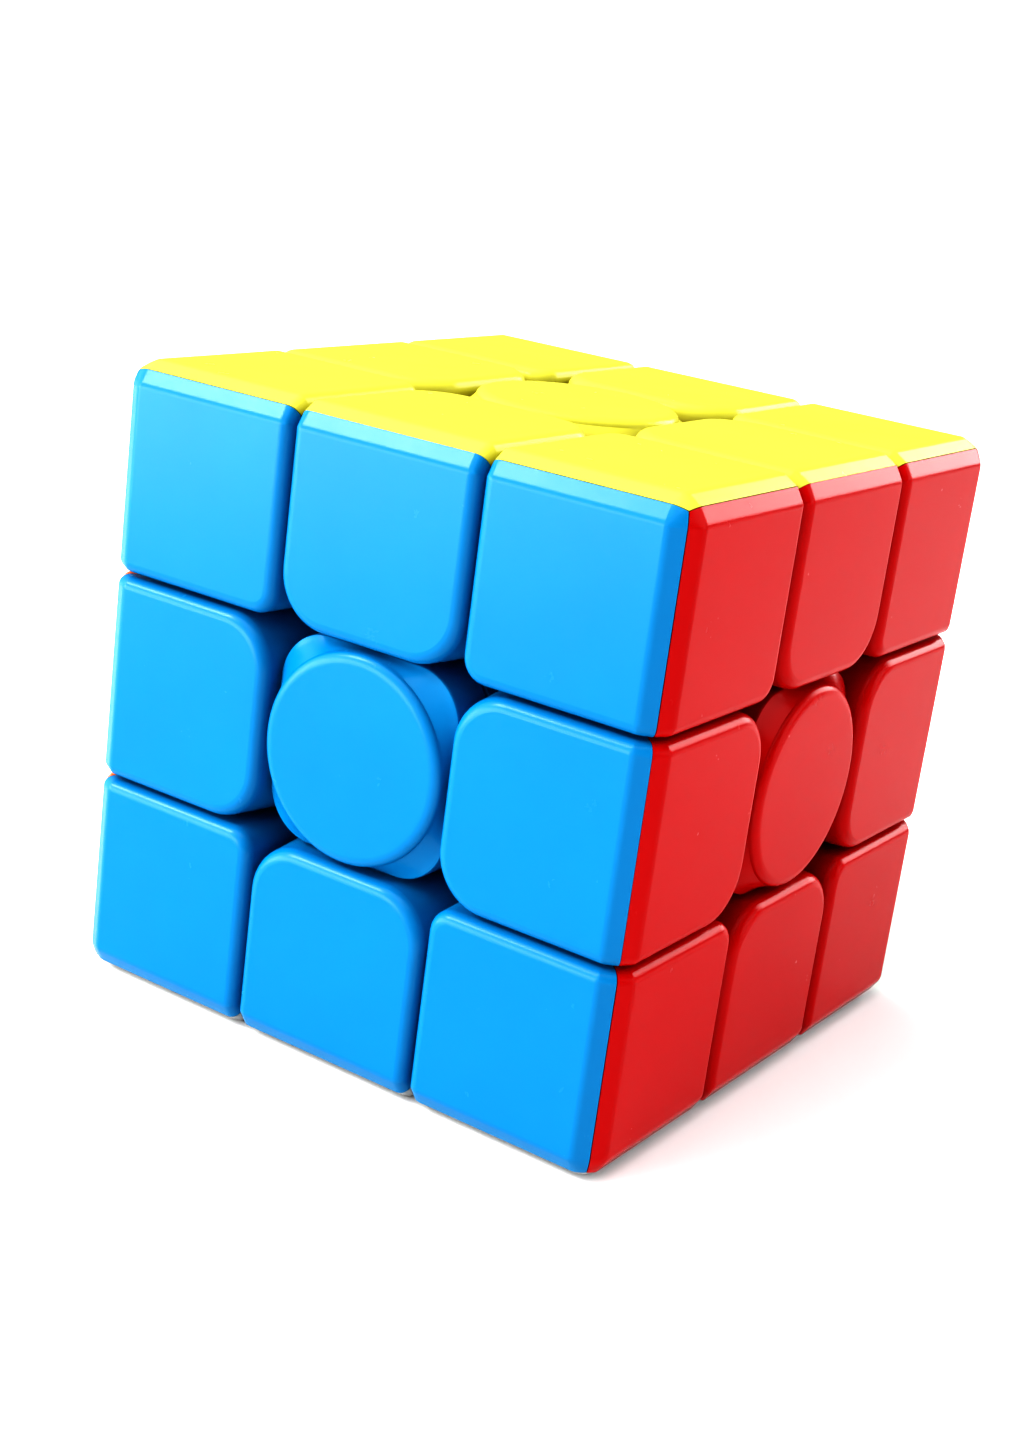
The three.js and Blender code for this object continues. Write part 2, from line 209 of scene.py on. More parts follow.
# ---- Floor, world and lights ----
FLOOR_SIZE = 6  # half of its width, in metres
FLOOR_GAP = 0.02 * MM
FLOOR_LEVELS = (0.71, 0.75)
FLOOR_ROUGHNESS, FLOOR_GLOSS = 0.9, 0.1
BRIGHT_SIDE = math.radians(-50), math.radians(15)  # azimuth and elevation of the world's brightest part
WORLD_LEVELS = [(0.0, 0.06), (1.0, 1.0), (0.5, 0.12), (0.8, 0.3)]
SUN_DISTANCE = 0.5
SUNS = [  # name, azimuth, elevation, spread (how wide it looks from the cube) and strength; angles in degrees
    ("key_light", -48, 37, 18, 1.55),
    ("key_wash", -48, 36, 110, 2.15),
    ("back_light", 164, 22, 36, 1.85),
    ("right_light", 112, 20, 40, 0.8),
    ("overhead", -20, 80, 70, 1.3),
    ("front_fill", 8, 5, 60, 0.25),
]
# Name, azimuth, elevation, distance, size and watts.
LOW_PANEL = ("low_panel", -38, 4, 0.26, (0.27, 0.1), 0.5)

FACES = {
    "top": ((0, 0, 1), "yellow"),
    "bottom": ((0, 0, -1), "white"),
    "front": ((0, -1, 0), "blue"),
    "back": ((0, 1, 0), "green"),
    "left": ((-1, 0, 0), "orange"),
    "right": ((1, 0, 0), "red"),
}
SIDEWAYS = {"top": "right", "bottom": "right", "front": "top", "back": "top", "left": "top", "right": "top"}


def place_matrix(z_face, x_face):
    """The turn that brings a shape from +Z onto a face, with its +X side towards another face."""
    z, x = Vector(FACES[z_face][0]), Vector(FACES[x_face][0])
    y = z.cross(x)
    return Matrix((x, y, z)).transposed().to_4x4()


# ---- Mesh helpers ----


def new_object(name, mesh):
    """An object in the scene's collection."""
    made = bpy.data.objects.new(name, mesh)
    bpy.context.scene.collection.objects.link(made)
    return made


def mesh_of(bm, name):
    """Turns a bmesh into a mesh and frees it."""
    bmesh.ops.recalc_face_normals(bm, faces=bm.faces)
    mesh = bpy.data.meshes.new(name)
    bm.to_mesh(mesh)
    bm.free()
    return mesh


def hull(name, points):
    """The convex hull of some points, its flat faces joined into one polygon each."""
    bm = bmesh.new()
    verts = [bm.verts.new(p) for p in points]
    made = bmesh.ops.convex_hull(bm, input=verts)
    unused = list({*made["geom_interior"], *made["geom_unused"]})
    bmesh.ops.delete(bm, geom=[v for v in unused if isinstance(v, bmesh.types.BMVert)], context="VERTS")
    bmesh.ops.dissolve_limit(bm, angle_limit=FLAT_ANGLE, verts=list(bm.verts), edges=list(bm.edges))
    return mesh_of(bm, name)


def box_mesh(name, low, high):
    """A box between two opposite corners."""
    xs, ys, zs = zip(low, high)
    return hull(name, [Vector((x, y, z)) for x in xs for y in ys for z in zs])


def ball_mesh(name, radius):
    """A ball round the middle of the cube."""
    bm = bmesh.new()
    bmesh.ops.create_uvsphere(bm, u_segments=BALL_SEGMENTS, v_segments=BALL_SEGMENTS // 2, radius=radius)
    return mesh_of(bm, name)


def ring_angles(count):
    """The angles of points spaced evenly round a circle."""
    return [2 * math.pi * i / count for i in range(count)]


def post_mesh(name, radius, low, high, segments):
    """A round post along Z."""
    circle = [(radius * math.cos(a), radius * math.sin(a)) for a in ring_angles(segments)]
    return hull(name, [Vector((x, y, z)) for x, y in circle for z in (low, high)])


def boolean(target, tool_mesh, operation):
    """Cuts or joins a mesh into an object for good, and returns the object."""
    tool = new_object("tool", tool_mesh)
    modifier = target.modifiers.new("boolean", "BOOLEAN")
    modifier.operation = operation
    modifier.solver = "EXACT"
    modifier.object = tool
    apply_modifiers(target)
    bpy.data.objects.remove(tool)
    return target


def apply_modifiers(target):
    """Makes the result of an object's modifiers its mesh."""
    graph = bpy.context.evaluated_depsgraph_get()
    graph.update()
    done = bpy.data.meshes.new_from_object(target.evaluated_get(graph))
    target.modifiers.clear()
    target.data = done


def arc(centre, radius, start, end, steps):
    """Points of an arc in the XY plane, from one angle to another."""
    angles = [start + (end - start) * i / steps for i in range(steps + 1)]
    return [(centre[0] + radius * math.cos(a), centre[1] + radius * math.sin(a)) for a in angles]


def finish_shading(target, angle=SHARP_ANGLE):
    """Smooth shading with sharp edges past an angle in degrees, flat faces kept flat."""
    target.data.shade_smooth()
    target.data.set_sharp_from_angle(angle=math.radians(angle))
    weigh = target.modifiers.new("weigh", "WEIGHTED_NORMAL")
    weigh.keep_sharp = True
    weigh.weight = 100
    apply_modifiers(target)
    return target


# ---- Rounding and hollowing that edges and corners share ----


def shows(axes):
    """A test for outside faces, tile or bevel: their normals lie along these axes, mostly along one."""

    def test(normal):
        faced = [normal[axis] for axis in axes]
        return max(faced) > SHOWN_MOST and min(faced) > SHOWN_LEAST and Vector(faced).length > SHOWN_LENGTH

    return test


def is_ridge(edge):
    """Tests whether an edge is on the line where two colours meet, 45 degrees between two faces."""
    for a, b in ((0, 1), (1, 2), (0, 2)):
        if all(abs(v.co[a] - v.co[b]) < SAME_PLACE and v.co[a] > HALF - BEVEL_LEG for v in edge.verts):
            return True
    return False


def soften_rims(target, is_outside):
    """Rounds the edges around the shown faces; the crease of the bevel gets a smaller rounding."""
    bm = bmesh.new()
    bm.from_mesh(target.data)
    layer = bm.edges.layers.float.new("bevel_weight_edge")
    for edge in bm.edges:
        if len(edge.link_faces) != 2:
            continue
        shown = [is_outside(face.normal) for face in edge.link_faces]
        if all(shown):
            edge[layer] = 0.0 if is_ridge(edge) else CREASE_SOFTNESS
        elif any(shown):
            edge[layer] = 1.0
    bm.to_mesh(target.data)
    bm.free()
    bevel = target.modifiers.new("rim", "BEVEL")
    bevel.width = RIM
    bevel.segments = RIM_STEPS
    bevel.limit_method = "WEIGHT"
    bevel.use_clamp_overlap = False
    apply_modifiers(target)
    return target


def soften_ridge(target, mitres):
    """Rounds a shell's rim along the planes where it meets the other shells of its piece."""
    bm = bmesh.new()
    bm.from_mesh(target.data)
    bmesh.ops.dissolve_limit(bm, angle_limit=RIDGE_FLAT_ANGLE, verts=list(bm.verts), edges=list(bm.edges))
    layer = bm.edges.layers.float.new("bevel_weight_edge")
    for edge in bm.edges:
        if len(edge.link_faces) != 2:
            continue
        on_mitre = [any(face.normal.dot(m) > SAME_DIRECTION for m in mitres) for face in edge.link_faces]
        outside = all(max(v.co) > HALF - BEVEL_LEG and min(v.co) > -HALF for v in edge.verts)
        edge[layer] = float(on_mitre[0] != on_mitre[1] and outside)
    bm.to_mesh(target.data)
    bm.free()
    bevel = target.modifiers.new("ridge", "BEVEL")
    bevel.width = RIDGE_RIM
    bevel.segments = RIDGE_STEPS
    bevel.limit_method = "WEIGHT"
    apply_modifiers(target)
    return target


def foot_block(low, high):
    """A foot that runs inside the track: a box cut round by the track's sphere."""
    foot = new_object("foot", box_mesh("foot", low, high))
    return boolean(foot, ball_mesh("track", TRACK_R - TRACK_GAP), "INTERSECT")


def boolean_once(target, tool, operation):
    """A boolean with an object that isn't needed afterwards."""
    boolean(target, tool.data, operation)
    bpy.data.objects.remove(tool)


def hollow_out(target, points):
    """Cuts the hollow with these corners out of a shell, down to the wall over the track."""
    hollow = new_object("hollow", hull("hollow", points))
    boolean(hollow, ball_mesh("inside_wall", TRACK_R + WALL), "DIFFERENCE")
    boolean_once(target, hollow, "DIFFERENCE")


# ---- Edges ----


def edge_points(inset, steps):
    """The corners of an edge's outer block, between +Z and +X, or of that block shrunk by an inset."""
    low, high = TILE_LOW + inset, HALF - inset
    side = TILE_HALF - inset
    crease = HALF - BEVEL_LEG - inset / 2
    mid = HALF - BEVEL_MID - inset
    rings = [
        (high, EDGE_TILE_R - inset),
        (HALF - FLARE_DEPTH, max(EDGE_BASE_R - inset, EDGE_LEAST_R)),
    ]
    points = []
    for s in (-1, 1):
        for z, radius in rings:
            for x, y in arc((low + radius, side - radius), radius, math.pi / 2, math.pi, steps):
                points += [Vector((x, s * y, z)), Vector((z, s * y, x))]
        points += [Vector((crease, s * side, high)), Vector((high, s * side, crease))]
        points += [Vector((mid, s * side, mid)), Vector((low, s * side, low))]
    return points


def edge_shell():
    """Half an edge: the shell whose tile faces +Z."""
    made = new_object("edge_shell", hull("edge_shell", edge_points(0, EDGE_STEPS)))
    soften_rims(made, shows((0, 2)))
    boolean(made, ball_mesh("track", TRACK_R + TRACK_GAP), "DIFFERENCE")
    foot = foot_block((FOOT_START, -FOOT_HALF, FOOT_START), (TRACK_R, FOOT_HALF, TRACK_R))
    neck = box_mesh("neck", (TILE_LOW, -FOOT_HALF, TILE_LOW), (NECK_TOP, FOOT_HALF, NECK_TOP))
    boolean(foot, neck, "UNION")
    boolean_once(made, foot, "UNION")
    hollow_out(made, edge_points(WALL, EDGE_INSIDE_STEPS))
    gap = SHELL_GAP / 2
    outline = ((-FAR, -FAR + gap), (-FAR, FAR), (FAR, FAR + gap))
    wedge = [Vector((x, y, z)) for y in (-FAR, FAR) for x, z in outline]
    boolean(made, hull("wedge", wedge), "INTERSECT")
    soften_ridge(made, [Vector((1, 0, -1)).normalized()])
    return finish_shading(made)


# ---- Corners ----


def corner_points(inset, steps):
    """The corners of a corner's outer block, at +X +Y +Z, or of that block shrunk by an inset."""
    low, high = TILE_LOW + inset, HALF - inset
    crease = HALF - BEVEL_LEG - inset / 2
    mid = HALF - BEVEL_MID - inset
    tip = HALF - BEVEL_POINT - inset
    points = [Vector((low, low, low)), Vector((tip, tip, tip))]
    centre = low + CORNER_TILE_R
    outline = arc((centre, centre), CORNER_TILE_R, math.pi, 1.5 * math.pi, steps)
    outline = [(x, y, high) for x, y in outline]
    outline += [(crease, low, high), (low, crease, high), (crease, crease, high)]
    outline += [(mid, low, mid), (mid, crease, mid)]
    for x, y, z in outline:
        points += [Vector((x, y, z)), Vector((z, x, y)), Vector((y, z, x))]
    return points


def corner_shell():
    """A third of a corner: the shell whose tile faces +Z."""
    made = new_object("corner_shell", hull("corner_shell", corner_points(0, CORNER_STEPS)))
    soften_rims(made, shows((0, 1, 2)))
    boolean_once(made, foot_block((FOOT_START,) * 3, (TRACK_R,) * 3), "UNION")
    hollow_out(made, corner_points(WALL, CORNER_INSIDE_STEPS))
    middle = (LAYER + HALF) / 2
    for turn in range(3):
        hole = post_mesh("hole", CORE_OUT_R, LAYER, LAYER + 2 * WALL, HOLE_SIDES)
        hole.transform(Matrix.Translation((middle, middle, 0)))
        for v in hole.vertices:
            x, y, z = v.co
            v.co = [(x, y, z), (z, x, y), (y, z, x)][turn]
        boolean(made, hole, "DIFFERENCE")
    tip = Vector((0, 0, SHELL_GAP))
    wedge = [tip + Vector(v) * FAR for v in ((0, 0, 0), (0, 0, 1), (1, 0, 1), (0, 1, 1), (1, 1, 1))]
    boolean(made, hull("wedge", wedge), "INTERSECT")
    soften_ridge(made, [Vector((1, 0, -1)).normalized(), Vector((0, 1, -1)).normalized()])
    return finish_shading(made)


# ---- Meshes made of stacked rings ----


def stack(name, rings):
    """A closed mesh through a list of rings with the same number of points, capped at both ends."""
    bm = bmesh.new()
    loops = [[bm.verts.new(p) for p in points] for points in rings]
    count = len(loops[0])
    for upper, lower in zip(loops, loops[1:]):
        for i in range(count):
            j = (i + 1) % count
            bm.faces.new((upper[i], upper[j], lower[j], lower[i]))
    bm.faces.new(loops[0])
    bm.faces.new(list(reversed(loops[-1])))
    return mesh_of(bm, name)


def square_reach(angle, side, radius):
    """How far a square with rounded corners reaches from its middle at an angle."""
    folded = abs((angle + math.pi / 4) % (math.pi / 2) - math.pi / 4)
    straight = side - radius
    if math.tan(folded) * side <= straight:
        return side / math.cos(folded)
    along = straight * (math.cos(folded) + math.sin(folded))
    return along + math.sqrt(along**2 - 2 * straight**2 + radius**2)


def ring(reach, z, count=RING_SIDES):
    """A ring of points at a height; reach gives its radius at an angle."""
    return [Vector((reach(a) * math.cos(a), reach(a) * math.sin(a), z)) for a in ring_angles(count)]


def round_reach(radius):
    """The reach of a circle, for ring."""
    return lambda angle: radius


# ---- Centre caps ----


def cap_shell():
    """A centre cap: a disc that flares to a rounded square, open underneath where the hub plugs in."""

    def base(inset):
        return lambda angle: square_reach(angle, TILE_HALF - inset, CAP_BASE_R - inset)

    def between(share):
        return lambda angle: DISC_R + share * (square_reach(angle, TILE_HALF, CAP_BASE_R) - DISC_R)

    rings = []
    for i in range(RIM_STEPS + 2):
        t = math.pi / 2 * i / (RIM_STEPS + 1)
        z = HALF - CAP_RIM_DEPTH * (1 - math.cos(t))
        rings.append(ring(round_reach(DISC_R - RIM * (1 - math.sin(t))), z))
    for i in range(1, FLARE_STEPS + 1):
        t = i / FLARE_STEPS
        z = HALF - CAP_RIM_DEPTH - (CAP_FLARE - CAP_RIM_DEPTH) * (1 - (1 - t) ** FLARE_POWER)
        rings.append(ring(between(FLARE_SHARE * t), z))
    for i in range(1, BROW_STEPS + 1):
        t = math.pi / (2 * BROW_STEPS) * i
        z = HALF - CAP_FLARE - BROW_DEPTH * (1 - math.cos(t))
        rings.append(ring(between(FLARE_SHARE + (1 - FLARE_SHARE) * math.sin(t)), z))
    rings.append(ring(base(0), CAP_FOOT + CAP_BASE_RIM))
    rings.append(ring(base(CAP_BASE_RIM), CAP_FOOT))
    rings.append(ring(round_reach(CAP_POCKET_R), CAP_FOOT))
    rings.append(ring(round_reach(CAP_POCKET_R), HALF - CAP_ROOF))
    made = new_object("cap_shell", stack("cap_shell", rings))
    return finish_shading(made)


# ---- Inside: hub, screw, spring and core, each along +Z ----


def hub_shell():
    """The square flange under the cap, the collar that plugs into the cap, and the stem down to the core."""

    def square(angle):
        return square_reach(angle, TILE_HALF, CAP_BASE_R)

    made = new_object("hub_shell", stack("hub_shell", [ring(square, HUB_TOP), ring(square, TILE_LOW)]))
    boolean(made, ball_mesh("track", TRACK_R + TRACK_GAP), "DIFFERENCE")
    boolean(made, post_mesh("stem", STEM_R, STEM_FOOT, HUB_TOP, STEM_SIDES), "UNION")
    boolean(made, post_mesh("collar", COLLAR_R, HUB_TOP - PAST, COLLAR_TOP, STEM_SIDES), "UNION")
    for radius, low, high, sides in (
        (ARM_R + ARM_GAP, STEM_FOOT - PAST, FLOOR_LOW, BORE_SIDES),
        (SCREW_HOLE_R, FLOOR_LOW - PAST, FLOOR_HIGH + PAST, HOLE_SIDES),
        (SPRING_POCKET_R, FLOOR_HIGH, COLLAR_TOP + PAST, BORE_SIDES),
    ):
        boolean(made, post_mesh("bore", radius, low, high, sides), "DIFFERENCE")
    return finish_shading(made)


def screw_shape():
    """A screw: blunt point, thread up to the end of the core's arm, shank, domed head with a cross."""

    def threaded(z):
        def reach(angle):
            turn = z / THREAD_PITCH - angle / (2 * math.pi)
            return SCREW_R - THREAD_DEPTH * abs(2 * (turn % 1) - 1)

        return reach

    head_low = HEAD_HIGH - HEAD_HEIGHT
    thread_low = SCREW_TIP + POINT_LENGTH
    count = round((ARM_TOP - thread_low) / THREAD_PITCH * THREAD_STEPS)
    heights = [thread_low + (ARM_TOP - thread_low) * i / count for i in range(count + 1)]
    shank = round_reach(SCREW_R - THREAD_DEPTH / 2)
    outline = [(round_reach(SCREW_R - 2 * THREAD_DEPTH), SCREW_TIP)]
    outline += [(threaded(z), z) for z in heights]
    outline += [(shank, ARM_TOP + THREAD_PITCH / 2), (shank, head_low), (round_reach(HEAD_R), head_low)]
    for i in range(HEAD_STEPS):
        t = math.pi / 2 * i / HEAD_STEPS
        z = head_low + HEAD_SIDE + (HEAD_HEIGHT - HEAD_SIDE) * math.sin(t)
        outline.append((round_reach(HEAD_R * math.cos(t * HEAD_BEND)), z))
    outline.append((round_reach(HEAD_R * HEAD_FLAT), HEAD_HIGH))
    rings = [ring(reach, z, SCREW_SIDES) for reach, z in outline]
    made = new_object("screw_shape", stack("screw_shape", rings))
    low, high = HEAD_HIGH - RECESS_DEPTH, HEAD_HIGH + PAST
    for along, across in ((RECESS_REACH, RECESS_HALF_WIDTH), (RECESS_HALF_WIDTH, RECESS_REACH)):
        boolean(made, box_mesh("recess", (-along, -across, low), (along, across, high)), "DIFFERENCE")
    return finish_shading(made)


def spring_shape():
    """A coil spring whose end turns lie flat."""
    low, high = SPRING_LOW + WIRE_R, SPRING_HIGH - WIRE_R
    flat = 2 * WIRE_R * DEAD_TURNS
    steps = round(COIL_TURNS * TURN_STEPS)
    rings = []
    for i in range(steps + 1):
        turn = COIL_TURNS * i / steps
        angle = 2 * math.pi * turn
        if turn < DEAD_TURNS:
            z = low + 2 * WIRE_R * turn
        elif turn > COIL_TURNS - DEAD_TURNS:
            z = high - 2 * WIRE_R * (COIL_TURNS - turn)
        else:
            share = (turn - DEAD_TURNS) / (COIL_TURNS - 2 * DEAD_TURNS)
            z = low + flat + (high - low - 2 * flat) * share
        outward = Vector((math.cos(angle), math.sin(angle), 0))
        middle = outward * COIL_R + Vector((0, 0, z))
        around = [outward * math.cos(a) + Vector((0, 0, math.sin(a))) for a in ring_angles(WIRE_SIDES)]
        rings.append([middle + away * WIRE_R for away in around])
    made = new_object("spring_shape", stack("spring_shape", rings))
    return finish_shading(made, WIRE_SHARP_ANGLE)


def core_shape():
    """The block in the middle with six bored arms."""
    trimmed = CORE_HALF - CORE_CHAMFER
    points = []
    for signs in [(a, b, c) for a in (-1, 1) for b in (-1, 1) for c in (-1, 1)]:
        for axis in range(3):
            size = [trimmed] * 3
            size[axis] = CORE_HALF
            points.append(Vector([sign * along for sign, along in zip(signs, size)]))
    made = new_object("core_shape", hull("core_shape", points))
    for face in FACES:
        arm = post_mesh("arm", ARM_R, CORE_HALF - PAST, ARM_TOP, BORE_SIDES)
        arm.transform(place_matrix(face, SIDEWAYS[face]))
        boolean(made, arm, "UNION")
    bevel = made.modifiers.new("rim", "BEVEL")
    bevel.width = ARM_RIM
    bevel.segments = ARM_RIM_STEPS
    bevel.limit_method = "ANGLE"
    bevel.angle_limit = ARM_SHARP_ANGLE
    apply_modifiers(made)
    for face in FACES:
        bore = post_mesh("bore", SCREW_R + BORE_GAP, SCREW_TIP - BORE_GAP, ARM_TOP + PAST, HOLE_SIDES)
        bore.transform(place_matrix(face, SIDEWAYS[face]))
        boolean(made, bore, "DIFFERENCE")
    return finish_shading(made)


# ---- Plastics and steel ----


def node(tree, kind, **inputs):
    """A shader node with values for its inputs; an underscore stands for a space in an input's name."""
    made = tree.nodes.new(kind)
    for name, value in inputs.items():
        made.inputs[name.replace("_", " ")].default_value = value
    return made


def ramp_node(tree, stops):
    """A grey ramp through (position, level) stops."""
    ramp = tree.nodes.new("ShaderNodeValToRGB")
    for i, (position, level) in enumerate(stops):
        stop = ramp.color_ramp.elements[i] if i < 2 else ramp.color_ramp.elements.new(position)
        stop.position = position
        stop.color = (level, level, level, 1)
    return ramp


def mix_node(tree, blend, share, first, second):
    """Mixes two colours; each input is a socket or a value."""
    mix = tree.nodes.new("ShaderNodeMix")
    mix.data_type = "RGBA"
    mix.blend_type = blend
    # Inputs 6 and 7 and output 2 are the node's colours.
    for index, value in ((0, share), (6, first), (7, second)):
        if isinstance(value, bpy.types.NodeSocket):
            tree.links.new(value, mix.inputs[index])
        else:
            mix.inputs[index].default_value = value
    return mix.outputs[2]


def near_face(tree, place):
    """A socket that is 1 on the cube's faces and falls to 0 below them, down the walls: the mask of the
    painted shade.
    """
    split = tree.nodes.new("ShaderNodeSeparateXYZ")
    size = tree.nodes.new("ShaderNodeVectorMath")
    size.operation = "ABSOLUTE"
    tree.links.new(place.outputs["Object"], size.inputs[0])
    tree.links.new(size.outputs["Vector"], split.inputs["Vector"])
    reach = split.outputs["X"]
    for axis in ("Y", "Z"):
        largest = tree.nodes.new("ShaderNodeMath")
        largest.operation = "MAXIMUM"
        tree.links.new(reach, largest.inputs[0])
        tree.links.new(split.outputs[axis], largest.inputs[1])
        reach = largest.outputs[0]
    shade = node(tree, "ShaderNodeMapRange")
    shade.interpolation_type = "SMOOTHSTEP"
    shade.inputs["From Min"].default_value = HALF - FULL_SHADE_DEPTH
    shade.inputs["From Max"].default_value = HALF - SHADE_START_DEPTH
    tree.links.new(reach, shade.inputs["Value"])
    return shade.outputs["Result"]


def plastic(name, colour, painted_shade_colour, gloss, roughness=PLASTIC_ROUGHNESS):
    """Moulded glossy plastic: slightly cloudy colour with shade painted in down the walls, a soft orange-peel
    skin and fine handling marks.
    """
    material = bpy.data.materials.new(name)
    material.use_nodes = True
    tree = material.node_tree
    shader = tree.nodes["Principled BSDF"]
    shader.inputs["IOR"].default_value = PLASTIC_IOR
    shader.inputs["Specular IOR Level"].default_value = gloss
    place = tree.nodes.new("ShaderNodeTexCoord")

    cloud = node(tree, "ShaderNodeTexNoise", Scale=90.0, Detail=3.0, Roughness=0.5)
    ramp = ramp_node(tree, CLOUD_STOPS)
    tree.links.new(place.outputs["Object"], cloud.inputs["Vector"])
    tree.links.new(cloud.outputs["Fac"], ramp.inputs["Fac"])
    # Painted shade: below the faces the colour turns to the shade colour, down the walls and in the pits.
    depth = mix_node(tree, "MIX", near_face(tree, place), (*painted_shade_colour, 1), (*colour, 1))
    cloudy = mix_node(tree, "MULTIPLY", 1, depth, ramp.outputs["Color"])
    tree.links.new(cloudy, shader.inputs["Base Color"])

    marks = node(tree, "ShaderNodeTexNoise", Scale=420.0, Detail=4.0, Roughness=0.6)
    spread = node(tree, "ShaderNodeMapRange")
    spread.inputs["To Min"].default_value = roughness + PLASTIC_MARKS[0]
    spread.inputs["To Max"].default_value = roughness + PLASTIC_MARKS[1]
    tree.links.new(place.outputs["Object"], marks.inputs["Vector"])
    tree.links.new(marks.outputs["Fac"], spread.inputs["Value"])
    tree.links.new(spread.outputs["Result"], shader.inputs["Roughness"])

    peel = node(tree, "ShaderNodeTexNoise", Scale=900.0, Detail=2.0, Roughness=0.5)
    bump = node(tree, "ShaderNodeBump", Strength=0.008, Distance=0.00004)
    tree.links.new(place.outputs["Object"], peel.inputs["Vector"])
    tree.links.new(peel.outputs["Fac"], bump.inputs["Height"])
    tree.links.new(bump.outputs["Normal"], shader.inputs["Normal"])
    return material


def dark_nylon():
    """Matte dark nylon with a coarse moulded grain."""
    material = plastic("core_plastic", NYLON, NYLON, NYLON_GLOSS, NYLON_ROUGHNESS)
    bump = material.node_tree.nodes["Bump"]
    bump.inputs["Strength"].default_value = NYLON_GRAIN
    return material


def steel(name, level, roughness, stretch):
    """Metal with fine marks; a stretch above 1 along Z makes them run round the screw."""
    material = bpy.data.materials.new(name)
    material.use_nodes = True
    tree = material.node_tree
    shader = tree.nodes["Principled BSDF"]
    shader.inputs["Metallic"].default_value = 1
    place = tree.nodes.new("ShaderNodeTexCoord")
    scaled = tree.nodes.new("ShaderNodeMapping")
    scaled.inputs["Scale"].default_value = stretch
    tree.links.new(place.outputs["Object"], scaled.inputs["Vector"])
    scratches = node(tree, "ShaderNodeTexNoise", Scale=900.0, Detail=4.0, Roughness=0.65)
    tree.links.new(scaled.outputs["Vector"], scratches.inputs["Vector"])
    ramp = ramp_node(tree, [(0.3, level * STEEL_DIM), (0.7, level)])
    tree.links.new(scratches.outputs["Fac"], ramp.inputs["Fac"])
    tree.links.new(ramp.outputs["Color"], shader.inputs["Base Color"])
    spread = node(tree, "ShaderNodeMapRange")
    spread.inputs["To Min"].default_value = roughness - STEEL_MARKS
    spread.inputs["To Max"].default_value = roughness + STEEL_MARKS
    tree.links.new(scratches.outputs["Fac"], spread.inputs["Value"])
    tree.links.new(spread.outputs["Result"], shader.inputs["Roughness"])
    bump = node(tree, "ShaderNodeBump", Strength=0.15, Distance=0.00002)
    tree.links.new(scratches.outputs["Fac"], bump.inputs["Height"])
    tree.links.new(bump.outputs["Normal"], shader.inputs["Normal"])
    return material


# Materials by the record's slot names.
SLOTS = {f"{colour}_plastic": plastic(f"{colour}_plastic", *look) for colour, look in PLASTICS.items()}
SLOTS["core_plastic"] = dark_nylon()
SLOTS["screw_steel"] = steel("screw_steel", 0.66, 0.35, (1, 1, 4))
SLOTS["spring_steel"] = steel("spring_steel", 0.6, 0.25, (1, 1, 1))


# ---- Assembly ----


def put(shape, name, z_face, x_face, slot, body, replaces):
    """A copy of a shape, turned onto a face, riding on a body in place of a CAD node."""
    mesh = shape.data.copy()
    mesh.name = name
    mesh.transform(place_matrix(z_face, x_face))
    mesh.materials.clear()
    mesh.materials.append(SLOTS[slot])
    piece = new_object(name, mesh)
    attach(piece, body)
    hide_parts(replaces)
    return piece


def put_tile(shape, name, tile, x_face, body, replaces):
    """A copy of a shell in the colour of the face where its tile lies."""
    return put(shape, name, tile, x_face, f"{FACES[tile][1]}_plastic", body, replaces)


cap_shape = cap_shell()
hub_shape = hub_shell()
screw, spring = screw_shape(), spring_shape()
for face, (_, colour) in FACES.items():
    side, body = SIDEWAYS[face], f"{face}_centre"
    put_tile(cap_shape, f"{face}_cap", face, side, body, f"{face}_centre_cap_{colour}")
    put_tile(hub_shape, f"{face}_hub", face, side, body, f"{face}_centre_hub")
    put(screw, f"{face}_screw", face, side, "screw_steel", "core", f"{face}_tension_screw")
    put(spring, f"{face}_spring", face, side, "spring_steel", "core", f"{face}_tension_spring")
core = core_shape()
put(core, "core_block", "top", "right", "core_plastic", "core", "core")
for shape in (cap_shape, hub_shape, screw, spring, core):
    bpy.data.objects.remove(shape)

EDGES = [("top", side) for side in ("front", "back", "left", "right")]
EDGES += [("bottom", side) for side in ("front", "back", "left", "right")]
EDGES += [(depth, side) for depth in ("front", "back") for side in ("left", "right")]
edge_shape = edge_shell()
for a, b in EDGES:
    for tile, other in ((a, b), (b, a)):
        colour = FACES[tile][1]
        node_name = f"{a}_{b}_edge_{colour}"
        put_tile(edge_shape, f"{a}_{b}_edge_shell_{colour}", tile, other, f"{a}_{b}_edge", node_name)
bpy.data.objects.remove(edge_shape)

corner_shape = corner_shell()
for level in ("top", "bottom"):
    for depth in ("front", "back"):
        for side in ("left", "right"):
            corner = f"{level}_{depth}_{side}_corner"
            trio = (level, depth, side)
            for i, tile in enumerate(trio):
                a, b = trio[(i + 1) % 3], trio[(i + 2) % 3]
                turned = Vector(FACES[tile][0]).cross(Vector(FACES[a][0]))
                x_face = a if turned.dot(Vector(FACES[b][0])) > 0 else b
                put_tile(corner_shape, f"{corner}_shell_{FACES[tile][1]}", tile, x_face, corner, corner)
bpy.data.objects.remove(corner_shape)

# ---- Adding the camera, floor, world and lights ----


def direction(azimuth, elevation):
    """From the cube towards a camera at that azimuth and elevation; azimuth 0 is in front, at -Y."""
    across = math.cos(elevation)
    return Vector((math.sin(azimuth) * across, -math.cos(azimuth) * across, math.sin(elevation)))


